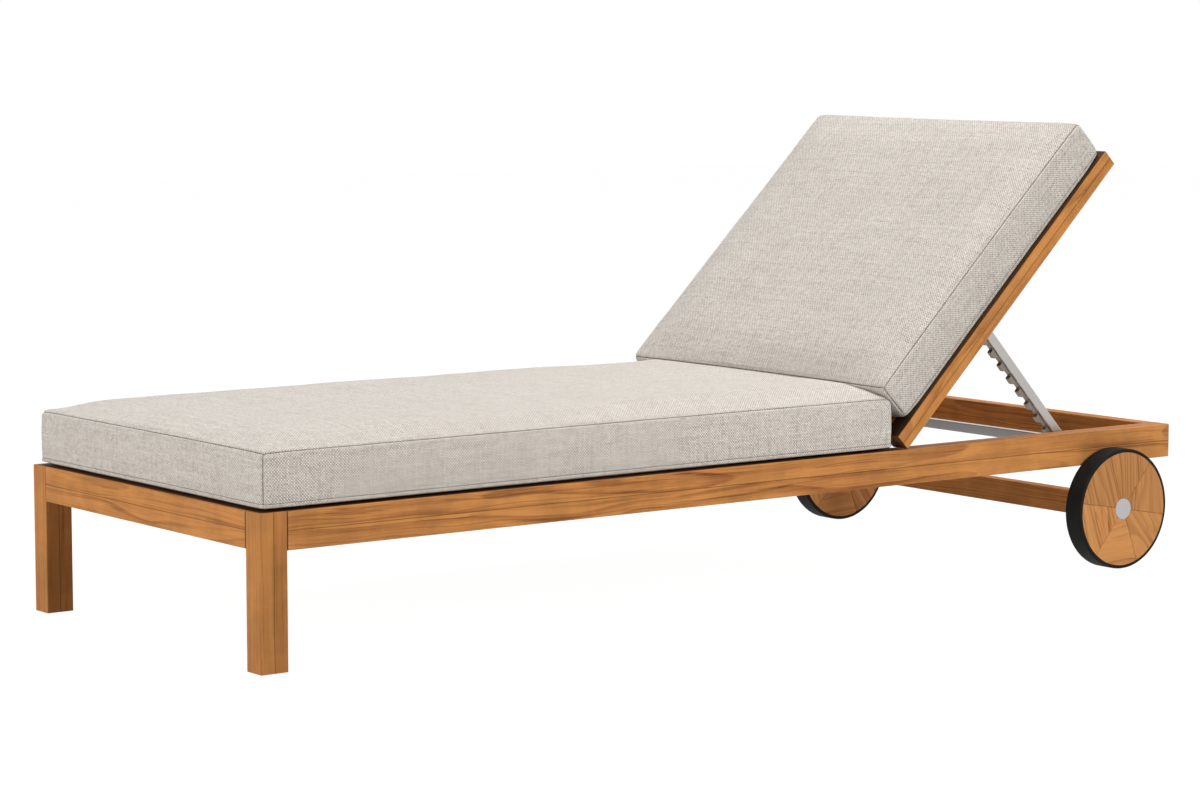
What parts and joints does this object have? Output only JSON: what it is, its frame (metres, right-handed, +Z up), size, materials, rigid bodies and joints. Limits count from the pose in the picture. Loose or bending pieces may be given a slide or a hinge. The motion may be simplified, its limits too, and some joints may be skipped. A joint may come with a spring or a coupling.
{
  "type": "sun lounger",
  "caption": "Wooden sun lounger with a slatted frame on legs and wheels, a tilting back propped by a notched stay, and box cushions.",
  "frame": {"origin": "on the floor, below the middle of the lounger at rest", "axes": "+Z up, +Y along the lounger towards the head end, +X across it"},
  "size_m": [0.834, 2, 0.8289],
  "materials": {
    "timber": "oiled hardwood, straight to wavy grain",
    "steel": "brushed stainless steel",
    "upholstery": "heathered woven fabric",
    "tread": "smooth black rubber",
    "nylon": "moulded nylon"
  },
  "bodies": {
    "frame": {"axle_beam": "timber", "axle_clips": "steel", "catch_bar": "steel", "catch_bar_rosettes": "steel", "centre_bearer": "timber", "foot_rail": "timber", "head_rail": "timber", "hinge_leaves_base": "steel", "hinge_pins": "steel", "hinge_rail": "timber", "hinge_screws_base": "steel", "leg_glides": "nylon", "leg_left": "timber", "leg_right": "timber", "seat_cushion": "upholstery", "seat_ledger_left": "timber", "seat_ledger_right": "timber", "seat_slats": "timber", "side_rail_left": "timber", "side_rail_right": "timber", "stub_axle_left": "steel", "stub_axle_right": "steel", "thrust_washers": "steel", "wheel_post_left": "timber", "wheel_post_right": "timber"},
    "back": {"back_bottom_rail": "timber", "back_top_rail": "timber", "back_cushion": "upholstery", "back_slats": "timber", "back_stile_left": "timber", "back_stile_right": "timber", "hinge_leaves_back": "steel", "hinge_screws_back": "steel", "stay_bushes": "nylon"},
    "stay": {"stay_rod": "steel", "stay_arm_left": "steel", "stay_arm_right": "steel", "stay_rack_left": "steel", "stay_rack_right": "steel", "arm_plugs": "nylon"},
    "wheel_left": {"hub_bush_left": "nylon", "hub_cap_left": "steel", "tyre_left": "tread", "wheel_disc_left": "timber"},
    "wheel_right": {"hub_bush_right": "nylon", "hub_cap_right": "steel", "tyre_right": "tread", "wheel_disc_right": "timber"}
  },
  "joints": [
    {"name": "back_tilt", "type": "hinge", "parent": "frame", "child": "back", "pos_m": [0, 0.341, 0.257], "axis": [1, 0, 0], "range_deg": [-44.4, 0]},
    {"name": "stay_swing", "type": "hinge", "parent": "back", "child": "stay", "pos_m": [0, 0.55049, 0.47614], "axis": [1, 0, 0], "range_deg": [0, 92]},
    {"name": "wheel_left_spin", "type": "hinge", "parent": "frame", "child": "wheel_left", "pos_m": [-0.4, 0.84, 0.112], "axis": [1, 0, 0], "continuous": true},
    {"name": "wheel_right_spin", "type": "hinge", "parent": "frame", "child": "wheel_right", "pos_m": [0.4, 0.84, 0.112], "axis": [1, 0, 0], "continuous": true}
  ],
  "couplings": [
    {"joint": "stay_swing", "follows": "back_tilt", "ratio": -2.0698}
  ]
}
